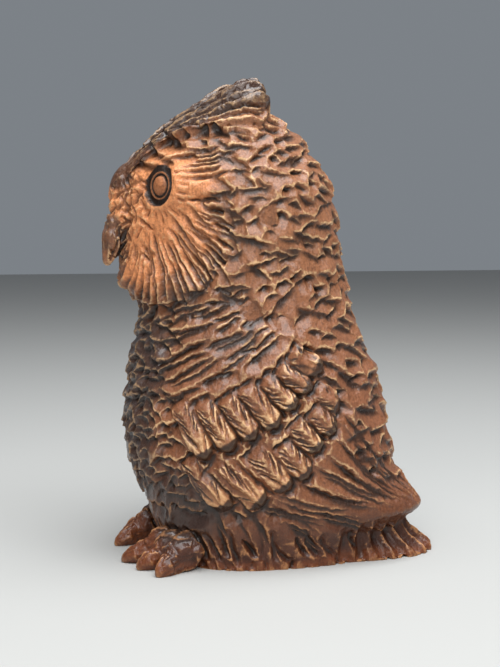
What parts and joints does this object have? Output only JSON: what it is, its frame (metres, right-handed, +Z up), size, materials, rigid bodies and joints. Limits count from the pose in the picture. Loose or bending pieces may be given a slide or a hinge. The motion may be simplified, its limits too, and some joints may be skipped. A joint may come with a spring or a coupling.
{
  "type": "wooden owl figurine",
  "caption": "Upright owl carved from one block of stained wood, with layered feathers, folded wings and brow tufts, standing on its flat underside.",
  "frame": {"origin": "centre of the bounding box at the flat underside", "axes": "+Z up through the crown, the owl looks towards -Y, its left wing is on +X"},
  "size_m": [0.1448, 0.21, 0.301],
  "materials": {
    "stained_wood": "reddish-brown stain under a satin varnish, darker in the cuts and worn yellowish on the crests"
  },
  "bodies": {
    "root": {"owl": "stained_wood"}
  },
  "joints": []
}
